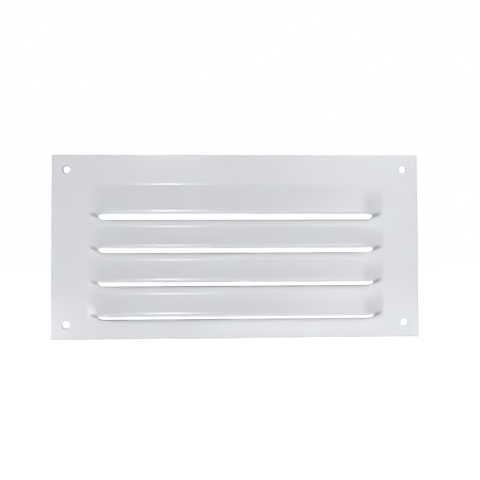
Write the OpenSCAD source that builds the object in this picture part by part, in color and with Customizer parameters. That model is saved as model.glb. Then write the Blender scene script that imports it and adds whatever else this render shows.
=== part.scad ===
// Ventilation grille: one sheet of painted metal with four louvres pressed out of it.
// The sheet stands in the X-Z plane. Its back, which lies on the wall, is at Y = 0,
// and the louvres stand out to the front, towards -Y, with their mouths facing down.

/* [Plate] */
// Width of the plate
plate_w = 200; // [190:1:400]
// Height of the plate
plate_h = 100; // [96:1:300]
// Thickness of the sheet
sheet_t = 0.8; // [0.5:0.1:1.5]

/* [Screw holes] */
// Diameter of the screw holes
hole_d = 4; // [3:0.1:5]
// Distance from each edge of the plate to the middle of a hole
hole_inset = 8; // [5:0.5:10]

/* [Louvres] */
// Number of louvres, one above the other
louvre_count = 4; // [1:1:4]
// Distance from one slot to the next
louvre_pitch = 18; // [15:0.5:18.5]
// Height from the bottom edge of the plate to the lower edge of the lowest slot
bottom_margin = 10.5; // [9:0.5:12]
// Length of a slot from tip to tip
slot_len = 149; // [60:1:155]
// Height of a slot, seen from the front
slot_gap = 2.8; // [2:0.1:4]
// Length of the point at each end of a slot
slot_point = 2.5; // [1:0.5:4]
// How far the lip of a louvre stands out in front of the plate
louvre_rise = 6; // [3:0.1:7]
// Flat strip between a slot and the crease of the louvre below it
web_h = 3; // [1:0.5:4]
// Extra height of the top louvre, whose crease has no slot above it
top_extra = 5; // [0:0.5:6]
// Height of the bend between the flat sheet and the face of a louvre
crease_bend = 1.2; // [0.6:0.2:2]
// Height of the bend between the face of a louvre and its lip
lip_bend = 1.4; // [0.6:0.2:2]
// Height of the lip, which stands parallel to the plate
lip_flat = 0.7; // [0.4:0.1:1.5]

/* [Louvre ends] */
// How far a louvre runs past the tip of its slot
end_out = 6.5; // [5:0.5:9]
// Distance from a slot's tip inwards to where the louvre has its full rise
end_in = 8; // [5:0.5:12]
// Length of the outer bend, where the end of a louvre meets the flat sheet
end_bend_out = 1.5; // [0.5:0.5:2]
// Length of the inner bend, where the end of a louvre runs into its face
end_bend_in = 5; // [3:0.5:6]
// How far the steep part of the end, beside the lip, runs past the slot's tip
tip_out = 2.5; // [2:0.5:4]
// Share of the rise that the steep part takes beside the lip
tip_share = 0.5; // [0:0.05:0.8]
// Height, as a share of the louvre's face, over which the steep part fades out
tip_fade = 0.7; // [0.3:0.05:1]

/* [Hidden] */
paint = [0.90, 0.91, 0.93];
hole_faces = 64;
// Rows of facets up the straight part of a louvre's face, in each bend, and under the lip
slope_rows = 6;
bend_rows = 3;
fall_rows = 4;
// Columns of facets in each end of a louvre
end_cols = 14;
// Points along each side of a slot's tip
point_steps = 6;
// Flat strip of the panel that is left round the louvres, and how far a cut runs clear
panel_rim = 1;
clear = 1;

slot_half = slot_len / 2;
face_h = louvre_pitch - slot_gap - web_h;
full_x = slot_half - end_in;
dent_x = slot_half + end_out;
tip_x = slot_half + tip_out;
panel_x = dent_x + panel_rim;
lowest_slot = bottom_margin - plate_h / 2;

// Height of the lower edge of slot i, counted from the bottom
function slot_z(i) = lowest_slot + i * louvre_pitch;
// Height of the lip of louvre i
function lip_z(i) = slot_z(i) + slot_gap;
// Height of the face of louvre i, from its lip to its crease
function full_h(i) = i == louvre_count - 1 ? face_h + top_extra : face_h;
// Smooth step from 0 to 1 as t goes from 0 to 1, level at both ends
function ease(t) =
    let (u = min(max(t, 0), 1))
    u * u * (3 - 2 * u);
// Rise from 0 to 1 over a length: a straight slope, with a parabola as a bend at each end
function ramp(distance, length, first_bend, last_bend) =
    let (
        t = min(max(distance, 0), length),
        slope = 1 / (length - (first_bend + last_bend) / 2)
    )
    t < first_bend ? slope * t * t / (2 * first_bend) :
    t > length - last_bend ? 1 - slope * pow(length - t, 2) / (2 * last_bend) :
    slope * (t - first_bend / 2);

// Share of the rise at height z of louvre i: from the crease down to the lip, then steeply back
function rise_z(i, z) =
    z >= lip_z(i)
    ? ramp(lip_z(i) + full_h(i) - z, full_h(i) - lip_flat, crease_bend, lip_bend)
    : ease((z - slot_z(i)) / slot_gap);
// Part of the end's slope that is steep, most beside the lip, where the slot's tip holds the sheet
function steep_share(i, z) = tip_share * (1 - ease((z - lip_z(i)) / (tip_fade * full_h(i))));
// Share of the rise at distance x from the middle of louvre i
function rise_x(i, x, z) =
    let (
        whole = ramp(dent_x - abs(x), dent_x - full_x, end_bend_out, end_bend_in),
        steep = ramp(tip_x - abs(x), tip_x - full_x, end_bend_out, end_bend_in),
        share = steep_share(i, z)
    )
    whole * (1 - share) + steep * share;
// How far the sheet is pushed out at a point of louvre i
function dent(i, x, z) = louvre_rise * rise_x(i, x, z) * rise_z(i, z);

// Heights of the rows of facets up a louvre's face: the bends are finer than the straight slope
function face_rows(i) = concat(
    [for (k = [0:1]) lip_z(i) + lip_flat * k],
    [for (k = [1:bend_rows]) lip_z(i) + lip_flat + lip_bend * k / bend_rows],
    [
        let (low = lip_z(i) + lip_flat + lip_bend, high = lip_z(i) + full_h(i) - crease_bend)
        for (k = [1:slope_rows])
            low + (high - low) * k / slope_rows
    ],
    [for (k = [1:bend_rows]) lip_z(i) + full_h(i) - crease_bend * (1 - k / bend_rows)]
);

// Rows and columns of the panel, each row with the louvre that it belongs to
rows = [
    [0, slot_z(0) - panel_rim],
    for (i = [0:louvre_count - 1])
        each concat(
            [for (k = [0:fall_rows - 1]) [i, slot_z(i) + slot_gap * k / fall_rows]],
            [for (z = face_rows(i)) [i, z]]
        ),
    [louvre_count - 1, slot_z(louvre_count - 1) + slot_gap + full_h(louvre_count - 1) + panel_rim]
];
panel_bottom = rows[0][1];
panel_top = rows[len(rows) - 1][1];
end_xs = [for (k = [0:end_cols]) full_x + (dent_x - full_x) * k / end_cols];
cols = concat(
    [-panel_x],
    [for (k = [end_cols:-1:0]) -end_xs[k]],
    end_xs,
    [panel_x]
);

// Two triangles of the quad with corners a, b, c and d, split from a to c or from b to d
function quad(a, b, c, d, from_a) =
    from_a ? [[a, b, c], [a, c, d]] : [[a, b, d], [b, c, d]];

// Part of the sheet that is pressed: a grid of points on its front, and the same on its back
module louvre_panel() {
    nc = len(cols);
    nr = len(rows);
    front = [
        for (row = rows)
            for (x = cols)
                [x, -sheet_t - dent(row[0], x, row[1]), row[1]]
    ];
    back = [
        for (row = rows)
            for (x = cols)
                [x, -dent(row[0], x, row[1]), row[1]]
    ];
    behind = nr * nc;
    faces = [
        for (r = [0:nr - 2])
            for (c = [0:nc - 2])
                let (a = r * nc + c, b = a + 1, d = a + nc, e = d + 1)
                each concat(
                    quad(a, d, e, b, c < nc / 2),
                    quad(behind + a, behind + b, behind + e, behind + d, c < nc / 2)
                ),
        for (c = [0:nc - 2])
            let (top = (nr - 1) * nc + c)
            each concat(
                quad(c, c + 1, behind + c + 1, behind + c, true),
                quad(top, behind + top, behind + top + 1, top + 1, true)
            ),
        for (r = [0:nr - 2])
            let (left = r * nc, right = left + nc - 1)
            each concat(
                quad(left, behind + left, behind + left + nc, left + nc, true),
                quad(right, right + nc, behind + right + nc, behind + right, true)
            )
    ];
    polyhedron(points = concat(front, back), faces = faces, convexity = 8);
}

// Opening that is cut through the sheet under a lip, with a blunt point at each end
module slot_cut(i) {
    half_gap = slot_gap / 2;
    straight = slot_half - slot_point;
    tip = [
        for (k = [0:point_steps])
            let (a = 180 * k / point_steps - 90)
            [straight + slot_point * cos(a), half_gap * sin(a)]
    ];
    mirrored = [for (k = [point_steps:-1:0]) [-tip[k][0], tip[k][1]]];
    translate([0, clear, slot_z(i) + half_gap])
        rotate([90, 0, 0])
            linear_extrude(height = louvre_rise + sheet_t + 2 * clear)
                polygon(concat(tip, mirrored));
}

// Flat sheet with a window that the pressed panel fills edge to edge
module flat_sheet() {
    difference() {
        translate([-plate_w / 2, -sheet_t, -plate_h / 2])
            cube([plate_w, sheet_t, plate_h]);
        translate([-panel_x, -sheet_t - clear, panel_bottom])
            cube([2 * panel_x, sheet_t + 2 * clear, panel_top - panel_bottom]);
    }
}

// One plain bore in each corner
module screw_holes() {
    for (sx = [-1, 1])
        for (sz = [-1, 1])
            translate([sx * (plate_w / 2 - hole_inset), clear, sz * (plate_h / 2 - hole_inset)])
                rotate([90, 0, 0])
                    cylinder(d = hole_d, h = sheet_t + 2 * clear, $fn = hole_faces);
}

module grille_plate() {
    color(paint)
        difference() {
            union() {
                flat_sheet();
                louvre_panel();
            }
            for (i = [0:louvre_count - 1])
                slot_cut(i);
            screw_holes();
        }
}

grille_plate();
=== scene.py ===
import math

import bpy
import numpy as np
from mathutils import Euler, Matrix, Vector


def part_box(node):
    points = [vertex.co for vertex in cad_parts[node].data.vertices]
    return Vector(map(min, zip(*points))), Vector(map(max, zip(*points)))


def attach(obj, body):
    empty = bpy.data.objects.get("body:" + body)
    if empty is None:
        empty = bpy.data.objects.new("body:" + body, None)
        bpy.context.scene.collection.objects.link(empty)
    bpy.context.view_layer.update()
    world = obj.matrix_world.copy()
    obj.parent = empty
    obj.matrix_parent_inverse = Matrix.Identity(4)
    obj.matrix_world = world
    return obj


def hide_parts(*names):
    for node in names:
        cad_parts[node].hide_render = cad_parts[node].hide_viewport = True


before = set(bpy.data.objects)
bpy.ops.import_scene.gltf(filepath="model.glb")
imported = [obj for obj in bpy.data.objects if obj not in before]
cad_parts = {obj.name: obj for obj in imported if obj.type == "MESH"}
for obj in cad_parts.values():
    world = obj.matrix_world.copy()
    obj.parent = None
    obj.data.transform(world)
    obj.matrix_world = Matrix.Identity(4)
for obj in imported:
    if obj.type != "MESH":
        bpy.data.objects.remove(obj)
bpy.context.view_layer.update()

# Camera
# A hand-held close view, straight on to the plate. The plate fills most of the frame from about
# 170 mm away, so the louvres' mouths look taller at the top than at the bottom.
IMAGE_SIDE = 480
MM = 0.001
SENSOR_WIDTH = 36.0
FOCAL_PIXELS = 305.0
CAMERA_PLACE = (-1.47 * MM, -167.06 * MM, 0.87 * MM)
CAMERA_PITCH = 0.884
CAMERA_ROLL = 0.206
CAMERA_YAW = -1.132

camera_data = bpy.data.cameras.new("camera")
camera_data.sensor_width = SENSOR_WIDTH
camera_data.lens = FOCAL_PIXELS * SENSOR_WIDTH / IMAGE_SIDE
camera_data.clip_start = 0.01
camera = bpy.data.objects.new("camera", camera_data)
camera.rotation_mode = "XYZ"
camera.rotation_euler = Euler(
    (math.radians(90 + CAMERA_PITCH), math.radians(CAMERA_ROLL), math.radians(CAMERA_YAW))
)
camera.location = CAMERA_PLACE
bpy.context.scene.collection.objects.link(camera)
bpy.context.scene.camera = camera


# Pressed sheet
# The whole grille: one blank of thin sheet steel, sheared to size, punched with four corner holes,
# cut along four slots and pressed out into louvres that shed rain, then coated with white paint.
low, high = (np.array(corner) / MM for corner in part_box("grille_plate"))
PLATE_W = high[0] - low[0]
PLATE_H = high[2] - low[2]
SHEET_T = 0.8
RISE = high[1] - low[1] - SHEET_T
HOLE_R = 2.0
HOLE_INSET = 8.0
LOUVRES = 4
PITCH = 18.0
BOTTOM_MARGIN = 10.5
SLOT_HALF = 74.5
SLOT_GAP = 2.8
SLOT_POINT = 2.5
WEB_H = 3.0
TOP_EXTRA = 5.0
CREASE_BEND = 1.2
LIP_BEND = 1.4
LIP_FLAT = 0.7
END_OUT = 6.5
END_IN = 8.0
END_BEND_OUT = 1.5
END_BEND_IN = 5.0
TIP_OUT = 2.5
TIP_SHARE = 0.5
TIP_FADE = 0.7

FACE_H = PITCH - SLOT_GAP - WEB_H
SLOT_ZS = BOTTOM_MARGIN - PLATE_H / 2 + PITCH * np.arange(LOUVRES)
DENT_X = SLOT_HALF + END_OUT
FULL_X = SLOT_HALF - END_IN
# Rounding of the front and the back of each cut edge, from the shear and the paint
FRONT_ROUND = 0.45
BACK_ROUND = 0.12
# Patch of painted shade beside each slot's tip, for the shadow in the fold there: its middle, out from the
# tip and up from the slot, its size and rise
TIP_SHADE_OUT = 1.6
TIP_SHADE_UP = 2.3
TIP_SHADE_HALF_W = 4.5
TIP_SHADE_HALF_H = 1.9
TIP_SHADE_SLANT = 0.3


def ease(t):
    """Smooth step from 0 to 1 as t goes from 0 to 1: the cubic that is level at both ends."""
    u = np.clip(t, 0, 1)
    return u * u * (3 - 2 * u)


def ramp(distance, length, first_bend, last_bend):
    """Rise from 0 to 1 over a length: a straight slope, with a parabola as a bend at each end."""
    t = np.clip(distance, 0, length)
    slope = 1 / (length - (first_bend + last_bend) / 2)
    straight = slope * (t - first_bend / 2)
    start = slope * t**2 / (2 * first_bend)
    stop = 1 - slope * (length - t)**2 / (2 * last_bend)
    return np.where(t < first_bend, start, np.where(t > length - last_bend, stop, straight))


def dent(x, z):
    """How far the sheet is pushed out at (x, z). Each louvre is a ramp from its crease down to its
    lip and a quick smooth step back across the slot, times a ramp at each end. Close to the lip
    part of the end ramp is shorter, because the sheet is held at the slot's tip."""
    total = np.zeros_like(x)
    for i, slot_z in enumerate(SLOT_ZS):
        lip_z = slot_z + SLOT_GAP
        face_h = FACE_H + (TOP_EXTRA if i == LOUVRES - 1 else 0)
        face = ramp(lip_z + face_h - z, face_h - LIP_FLAT, CREASE_BEND, LIP_BEND)
        along_z = np.where(z >= lip_z, face, ease((z - slot_z) / SLOT_GAP))
        whole = ramp(DENT_X - np.abs(x), DENT_X - FULL_X, END_BEND_OUT, END_BEND_IN)
        tip_x = SLOT_HALF + TIP_OUT
        at_tip = ramp(tip_x - np.abs(x), tip_x - FULL_X, END_BEND_OUT, END_BEND_IN)
        share = TIP_SHARE * (1 - ease((z - lip_z) / (TIP_FADE * face_h)))
        total = total + RISE * along_z * (whole * (1 - share) + at_tip * share)
    return total


def slot_width(x):
    """Share of the slot's full height at x: whole in the middle, then a quarter ellipse to the tip."""
    past = np.clip((np.abs(x) - (SLOT_HALF - SLOT_POINT)) / SLOT_POINT, 0, 1)
    return np.sqrt(1 - past**2)


def edge_distance(x, z):
    """Distance from (x, z) to the nearest cut edge: the outline, the holes or the slots, each slot
    taken as a bar with half an ellipse at each end."""
    distance = np.minimum(PLATE_W / 2 - np.abs(x), PLATE_H / 2 - np.abs(z))
    hole_x = PLATE_W / 2 - HOLE_INSET
    hole_z = PLATE_H / 2 - HOLE_INSET
    distance = np.minimum(
        distance, np.hypot(np.abs(x) - hole_x, np.abs(z) - hole_z) - HOLE_R
    )
    half_gap = SLOT_GAP / 2
    for slot_z in SLOT_ZS:
        along = np.maximum(np.abs(x) - (SLOT_HALF - SLOT_POINT), 0)
        across = z - slot_z - half_gap
        reach = np.hypot(along / SLOT_POINT, across / half_gap)
        slope = np.hypot(along / SLOT_POINT**2, across / half_gap**2)
        distance = np.minimum(distance, reach * (reach - 1) / np.maximum(slope, 1e-9))
    return np.maximum(distance, 0)


def tip_shade(x, z):
    """How near (x, z) is to a slot's tip, for the painted shade there: 1 in the middle of the shaded patch,
    0 out of its ellipse.
    """
    total = np.zeros_like(x)
    for slot_z in SLOT_ZS:
        along = (np.abs(x) - SLOT_HALF - TIP_SHADE_OUT) / TIP_SHADE_HALF_W
        middle_z = slot_z + TIP_SHADE_UP + TIP_SHADE_SLANT * TIP_SHADE_HALF_W * along
        across = (z - middle_z) / TIP_SHADE_HALF_H
        total = total + ease(1 - np.hypot(along, across))
    return total


def rounding(distance, radius):
    """Drop of a quarter-round edge at a distance from the cut: the radius at the cut, none past it."""
    inside = np.clip(radius - distance, 0, radius)
    return radius - np.sqrt(radius**2 - inside**2)


def spaced(start, stop, step):
    """Even steps from start to stop, none longer than step, without the last point."""
    count = max(1, math.ceil((stop - start) / step - 1e-6))
    return start + (stop - start) * np.arange(count) / count


# Distances from a cut edge at which the grid has a line, so that the rounding is smooth
EDGE_STEPS = FRONT_ROUND * (1 - np.cos(np.linspace(0, np.pi / 2, 7)))
EDGE_STEPS[-1] = FRONT_ROUND
EDGE_ROWS = len(EDGE_STEPS)
ROW_STEP = 0.62
# Column steps: mid-louvre, louvre ends, past the slot tips, margins, and the band at the outline
CENTRE_STEP = 2.2
END_STEP = 0.55
DENT_STEP = 0.4
MARGIN_STEP = 1.2
RIM_STEP = 0.3
RIM_BAND = 1.2
# Finer columns start this far before an end ramp, and go on this far past it
END_LEAD = 3.0
DENT_CLEAR = 1.0
POINT_STEPS = 12
# Square round each hole where the grid gives way to rings, its cells a side, and the last ring
HOLE_SQUARE = 3.4
HOLE_CELLS = 12
HOLE_FLAT = 0.75

hole_x = PLATE_W / 2 - HOLE_INSET
hole_z = PLATE_H / 2 - HOLE_INSET
point_turns = np.linspace(0, np.pi / 2, POINT_STEPS + 1)
half_columns = np.concatenate([
    spaced(0, FULL_X - END_LEAD, CENTRE_STEP),
    spaced(FULL_X - END_LEAD, SLOT_HALF - SLOT_POINT, END_STEP),
    SLOT_HALF - SLOT_POINT + SLOT_POINT * np.sin(point_turns[:-1]),
    spaced(SLOT_HALF, DENT_X + DENT_CLEAR, DENT_STEP),
    spaced(DENT_X + DENT_CLEAR, hole_x - HOLE_SQUARE, MARGIN_STEP),
    np.linspace(hole_x - HOLE_SQUARE, hole_x + HOLE_SQUARE, HOLE_CELLS + 1),
    spaced(hole_x + HOLE_SQUARE, PLATE_W / 2 - RIM_BAND, MARGIN_STEP)[1:],
    spaced(PLATE_W / 2 - RIM_BAND, PLATE_W / 2 - FRONT_ROUND, RIM_STEP),
    PLATE_W / 2 - EDGE_STEPS[::-1],
])
columns = np.concatenate([-half_columns[:0:-1], half_columns])


def strip(below, above, hole_at=None):
    """Heights of a grid between two cut edges, which are curves given at each column. Where hole_at
    gives a hole's height, the rows near the plate's sides slide to run along a square round it.
    Also gives the first and the last row of that square."""
    middle = len(columns) // 2
    height = above[middle] - below[middle]
    share = np.concatenate([
        EDGE_STEPS[:-1],
        spaced(FRONT_ROUND, height - FRONT_ROUND, ROW_STEP),
        height - EDGE_STEPS[::-1],
    ]) / height
    z = below[None, :] + (above - below)[None, :] * share[:, None]
    if hole_at is None:
        return z, None
    rows = len(share)
    side_low = below[0]
    side_high = above[0]
    square_low = hole_at - HOLE_SQUARE
    square_high = hole_at + HOLE_SQUARE
    share_low = (square_low - side_low) / (side_high - side_low)
    first = int(round(np.interp(share_low, share, np.arange(rows))))
    first = min(max(first, EDGE_ROWS), rows - EDGE_ROWS - HOLE_CELLS)
    last = first + HOLE_CELLS
    bends = [EDGE_ROWS - 1, first, last, rows - EDGE_ROWS]
    heights = [side_low + FRONT_ROUND, square_low, square_high, side_high - FRONT_ROUND]
    side = np.interp(np.arange(rows), bends, heights)
    side[:EDGE_ROWS] = side_low + EDGE_STEPS
    side[-EDGE_ROWS:] = side_high - EDGE_STEPS[::-1]
    mix_from = DENT_X + DENT_CLEAR
    mix = ease((np.abs(columns) - mix_from) / (hole_x - HOLE_SQUARE - mix_from))
    return z * (1 - mix)[None, :] + side[:, None] * mix[None, :], (first, last)


def hole_rings(square):
    """Rings of points from a hole's rim outwards, each in line with a point of the square round it."""
    centre = (square.min(axis=0) + square.max(axis=0)) / 2
    turn = np.arctan2(square[:, 1] - centre[1], square[:, 0] - centre[0])
    outward = np.stack([np.cos(turn), np.sin(turn)], axis=-1)
    radii = HOLE_R + np.append(EDGE_STEPS, HOLE_FLAT)
    return centre + radii[:, None, None] * outward


share_open = slot_width(columns)
share_open[np.abs(columns) >= SLOT_HALF] = 0
half_gap = SLOT_GAP / 2
under = [z + half_gap * (1 - share_open) for z in SLOT_ZS]
over = [z + half_gap * (1 + share_open) for z in SLOT_ZS]
edges_below = [np.full_like(columns, -PLATE_H / 2)] + over
edges_above = under + [np.full_like(columns, PLATE_H / 2)]
hole_heights = {0: -hole_z, LOUVRES: hole_z}

flat_points = []
quads = []
count = 0
for n in range(LOUVRES + 1):
    z, span = strip(edges_below[n], edges_above[n], hole_heights.get(n))
    grid = np.stack([np.broadcast_to(columns, z.shape), z], axis=-1)
    index = count + np.arange(z.size).reshape(z.shape)
    cells = np.stack([index[:-1, :-1], index[:-1, 1:], index[1:, 1:], index[1:, :-1]], axis=-1)
    keep = np.ones(cells.shape[:2], bool)
    flat_points.append(grid.reshape(-1, 2))
    count += z.size
    for side in (-1, 1) if span else ():
        bottom, top = span
        left = int(np.argmin(np.abs(columns - side * hole_x + HOLE_SQUARE)))
        right = left + HOLE_CELLS
        keep[bottom:top, left:right] = False
        border = [np.s_[bottom, left:right], np.s_[bottom:top, right]]
        border += [np.s_[top, right:left:-1], np.s_[top:bottom:-1, left]]
        rings = hole_rings(np.concatenate([grid[part] for part in border]))
        inner = count + np.arange(rings.size // 2).reshape(rings.shape[:2])
        outer = np.concatenate([index[part] for part in border])
        ring_index = np.concatenate([inner, outer[None]])
        after = np.roll(ring_index, -1, axis=1)
        ring_cells = np.stack([ring_index[:-1], ring_index[1:], after[1:], after[:-1]], axis=-1)
        quads.append(ring_cells.reshape(-1, 4))
        flat_points.append(rings.reshape(-1, 2))
        count += rings.size // 2
    quads.append(cells[keep])

flat = np.concatenate(flat_points)
quads = np.concatenate(quads)
# Points at one place become one point, and cells with no area are left out
_, first_at, merged = np.unique(np.round(flat, 5), axis=0, return_index=True, return_inverse=True)
flat = flat[first_at]
quads = merged.ravel()[quads]
corner_x = flat[quads, 0]
corner_z = flat[quads, 1]
area = np.sum(corner_x * np.roll(corner_z, -1, 1) - np.roll(corner_x, -1, 1) * corner_z, axis=1) / 2
quads = quads[area > 1e-9]

x, z = flat.T
pushed = dent(x, z)
cut = edge_distance(x, z)
tip = tip_shade(x, z)
front = np.stack([x, -SHEET_T - pushed + rounding(cut, FRONT_ROUND), z], axis=-1)
back = np.stack([x, -pushed - rounding(cut, BACK_ROUND), z], axis=-1)

# An edge that only one cell uses lies on a cut, and a wall joins front and back there
sides = np.stack([quads, np.roll(quads, -1, axis=1)], axis=-1).reshape(-1, 2)
sides = sides[sides[:, 0] != sides[:, 1]]
key = sides[:, 0] * len(flat) + sides[:, 1]
reverse = sides[:, 1] * len(flat) + sides[:, 0]
rim_sides = sides[~np.isin(key, reverse)]
walls = np.stack([
    rim_sides[:, 1], rim_sides[:, 0], rim_sides[:, 0] + len(flat), rim_sides[:, 1] + len(flat)
], axis=-1)

points = np.concatenate([front, back]) * MM
faces = np.concatenate([quads, quads[:, ::-1] + len(flat), walls])
face_list = [list(dict.fromkeys(face)) for face in faces.tolist()]
sheet_mesh = bpy.data.meshes.new("grille_sheet")
sheet_mesh.from_pydata(points.tolist(), [], face_list)
sheet_mesh.shade_smooth()
# Distance to a cut and nearness to a slot's tip, kept on the points to place the painted shade
for name, values in (("cut_distance", cut), ("slot_tip", tip)):
    attribute = sheet_mesh.attributes.new(name, "FLOAT", "POINT")
    attribute.data.foreach_set("value", np.tile(values, 2).astype(np.float32))
grille_sheet = bpy.data.objects.new("grille_sheet", sheet_mesh)
bpy.context.scene.collection.objects.link(grille_sheet)


def linear(hex_colour):
    """Linear colour of an sRGB hex value."""
    channels = [int(hex_colour[k:k + 2], 16) / 255 for k in (1, 3, 5)]
    return tuple(
        c / 12.92 if c <= 0.04045 else ((c + 0.055) / 1.055) ** 2.4 for c in channels
    ) + (1.0,)


def add(tree, kind, inputs=(), **settings):
    """Adds a node with its settings. Inputs maps a socket's name or number to a value, or to the
    output of another node, which is then linked in."""
    node = tree.nodes.new(kind)
    for name, value in settings.items():
        setattr(node, name, value)
    for name, value in dict(inputs).items():
        if isinstance(value, bpy.types.NodeSocket):
            tree.links.new(value, node.inputs[name])
        else:
            node.inputs[name].default_value = value
    return node


# White polyester powder coat, sprayed on the pressed sheet and stoved: a thick even skin with a
# soft gloss and a faint orange peel. Grey is mixed in as painted shade: a thin line in patches
# along the cut edges, for the dark under the lips and round the holes, and a patch beside each
# slot's tip, for the shadow in the fold there. Waves and heights of its patterns are in millimetres.
TINTS = ("#E3E3EA", "#E4E4E8", "#E2E6E9")
TINT_AT = (0.3, 0.5, 0.7)
# Grey of the painted shade along the cut edges and at the slots' tips
SHADE_GREY = "#85878C"
TINT_WAVE = 26.0
PATCH_WAVE = 34.0
PEEL_WAVE = 1.6
PEEL_HIGH = 0.006
GLOSS_WAVE = 14.0
SHEET_WAVE = 32.0
SHEET_WAVE_HIGH = 0.03
# Strength of the painted shade along the cut edges and at the slots' tips
EDGE_SHADE_STRENGTH = 0.75
TIP_SHADE_STRENGTH = 0.75
# The painted shade line is whole up to the first distance from a cut, in mm, and gone at the second
EDGE_SHADE_AT = (0.1, 0.5)
# Noise levels between which a patch of the painted shade line sets in, and those that the gloss runs over
PATCH_AT = (0.47, 0.58)
GLOSS_AT = (0.3, 0.7)
ROUGHNESS = (0.22, 0.25)

paint = bpy.data.materials.new("white_powder_coat")
paint.use_nodes = True
tree = paint.node_tree
place = add(tree, "ShaderNodeTexCoord").outputs["Object"]


def noise(tree, wave, detail=1.0):
    """Noise from 0 to 1 on the piece's own coordinates, with a wave of so many millimetres."""
    inputs = {"Vector": place, "Scale": 1 / (wave * MM), "Detail": detail}
    return add(tree, "ShaderNodeTexNoise", inputs).outputs["Fac"]


tint = add(tree, "ShaderNodeValToRGB", {"Fac": noise(tree, TINT_WAVE)})
stops = tint.color_ramp.elements
stops.new(TINT_AT[1])
for stop, position, colour in zip(stops, TINT_AT, TINTS):
    stop.position = position
    stop.color = linear(colour)

# Painted shade: grey mixed into the coat in patches along the cut edges and round each slot's tip
cut_away = add(tree, "ShaderNodeAttribute", attribute_name="cut_distance").outputs["Fac"]
tip_near = add(tree, "ShaderNodeAttribute", attribute_name="slot_tip").outputs["Fac"]
band = add(tree, "ShaderNodeMapRange", {
    "Value": cut_away, "From Min": EDGE_SHADE_AT[0], "From Max": EDGE_SHADE_AT[1],
    "To Min": EDGE_SHADE_STRENGTH, "To Max": 0
}).outputs[0]
patches = add(tree, "ShaderNodeMapRange", {
    "Value": noise(tree, PATCH_WAVE), "From Min": PATCH_AT[0], "From Max": PATCH_AT[1]
}).outputs[0]
edge_shade_mix = add(tree, "ShaderNodeMath", {0: band, 1: patches}, operation="MULTIPLY").outputs[0]
# Painted shade round each slot's tip, for the shadow in the fold there
tip_shade_mix = add(tree, "ShaderNodeMath", {0: tip_near, 1: TIP_SHADE_STRENGTH}, operation="MULTIPLY").outputs[0]
painted_shade = add(tree, "ShaderNodeMath", {0: edge_shade_mix, 1: tip_shade_mix}, operation="MAXIMUM").outputs[0]
colour = add(
    tree, "ShaderNodeMix", {0: painted_shade, 6: tint.outputs["Color"], 7: linear(SHADE_GREY)}, data_type="RGBA"
).outputs[2]
gloss = add(tree, "ShaderNodeMapRange", {
    "Value": noise(tree, GLOSS_WAVE), "From Min": GLOSS_AT[0], "From Max": GLOSS_AT[1],
    "To Min": ROUGHNESS[0], "To Max": ROUGHNESS[1]
}).outputs[0]
peel = add(tree, "ShaderNodeMath", {
    0: noise(tree, PEEL_WAVE), 1: PEEL_HIGH * MM
}, operation="MULTIPLY").outputs[0]
height = add(tree, "ShaderNodeMath", {
    0: noise(tree, SHEET_WAVE), 1: SHEET_WAVE_HIGH * MM, 2: peel
}, operation="MULTIPLY_ADD").outputs[0]
bump = add(tree, "ShaderNodeBump", {"Height": height, "Distance": 1, "Strength": 1})

shader = tree.nodes["Principled BSDF"]
tree.links.new(colour, shader.inputs["Base Color"])
tree.links.new(gloss, shader.inputs["Roughness"])
tree.links.new(bump.outputs["Normal"], shader.inputs["Normal"])
sheet_mesh.materials.append(paint)

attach(grille_sheet, "root")
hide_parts("grille_plate")


# Studio
# A plain pale floor well below the grille, soft lamps in front of it, and a white background. For
# camera, glossy and transmission rays the background is white, and so is the floor outside a shadow.
FLOOR_Z = -0.30
FLOOR_HALF = 4.0
FLOOR_SHINE = 0.92
AMBIENT = 0.09

floor_corners = [(-1, -1), (1, -1), (1, 1), (-1, 1)]
floor_mesh = bpy.data.meshes.new("floor")
floor_mesh.from_pydata(
    [(FLOOR_HALF * i, FLOOR_HALF * j, FLOOR_Z) for i, j in floor_corners], [], [(0, 1, 2, 3)]
)
floor = bpy.data.objects.new("floor", floor_mesh)
bpy.context.scene.collection.objects.link(floor)


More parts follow.
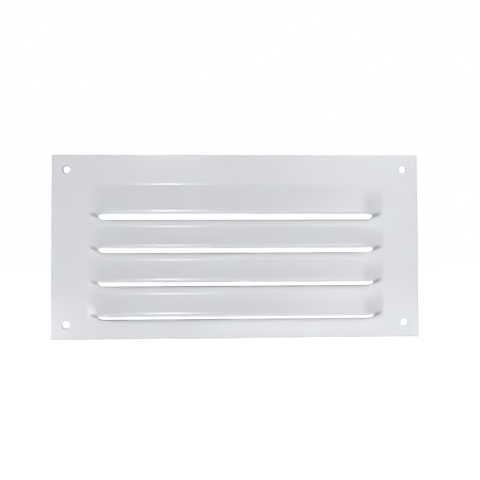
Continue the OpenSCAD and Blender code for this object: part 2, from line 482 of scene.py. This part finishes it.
def seen(tree, unseen, strength):
    """Socket that gives one value to the rays that show a thing, and another to the rest."""
    rays = add(tree, "ShaderNodeLightPath").outputs
    either = add(tree, "ShaderNodeMath", {
        0: rays["Is Camera Ray"], 1: rays["Is Glossy Ray"]
    }, operation="MAXIMUM").outputs[0]
    any_of = add(tree, "ShaderNodeMath", {
        0: either, 1: rays["Is Transmission Ray"]
    }, operation="MAXIMUM").outputs[0]
    inputs = {"Value": any_of, "To Min": unseen, "To Max": strength}
    return add(tree, "ShaderNodeMapRange", inputs).outputs[0]


floor_paint = bpy.data.materials.new("pale_floor")
floor_paint.use_nodes = True
tree = floor_paint.node_tree
shader = tree.nodes["Principled BSDF"]
shader.inputs["Base Color"].default_value = linear("#E7E7E7")
shader.inputs["Roughness"].default_value = 0.9
shader.inputs["Emission Color"].default_value = linear("#FFFFFF")
tree.links.new(seen(tree, 0, FLOOR_SHINE), shader.inputs["Emission Strength"])
floor_mesh.materials.append(floor_paint)

world = bpy.data.worlds.new("studio")
bpy.context.scene.world = world
world.use_nodes = True
tree = world.node_tree
background = tree.nodes["Background"]
background.inputs["Color"].default_value = linear("#FFFFFF")
tree.links.new(seen(tree, AMBIENT, 1), background.inputs["Strength"])


def lamp(name, turn, height, distance, size, power):
    """Soft lamp that looks at the grille from a turn to the right and a height, both in degrees,
    with its distance and its size in metres and its power in watts."""
    data = bpy.data.lights.new(name, "AREA")
    data.shape = "RECTANGLE"
    data.size, data.size_y = size
    data.energy = power
    box = bpy.data.objects.new(name, data)
    box.rotation_euler = Euler((math.radians(90 - height), 0, math.radians(turn)))
    box.location = box.rotation_euler.to_matrix() @ Vector((0, 0, distance))
    box.visible_camera = False
    bpy.context.scene.collection.objects.link(box)


# A large light high on the right, fill from low in front, a little light through the slots from
# behind, and two small spots that give the haze at the top edge and the streaks on the creases
lamp("high_right", 38.5, 33, 0.8, (0.308, 0.489), 0.703)
lamp("near_right", 30, 16.5, 0.4, (0.21, 0.48), 0.416)
lamp("low_front", 22.5, -18, 0.45, (0.474, 0.079), 0.342)
lamp("low_left", -60, -18, 0.45, (0.355, 0.079), 0.389)
lamp("floor_left", -66, -65, 0.28, (0.2, 0.2), 0.185)
lamp("behind_below", 140, -50, 0.3, (0.25, 0.25), 0.833)
lamp("haze_spot", -17.2, 24.5, 0.63, (0.05, 0.05), 0.12)
lamp("streak_spot", -17.1, 32.8, 0.656, (0.05, 0.05), 0.9)

bpy.context.scene.view_settings.view_transform = "Standard"
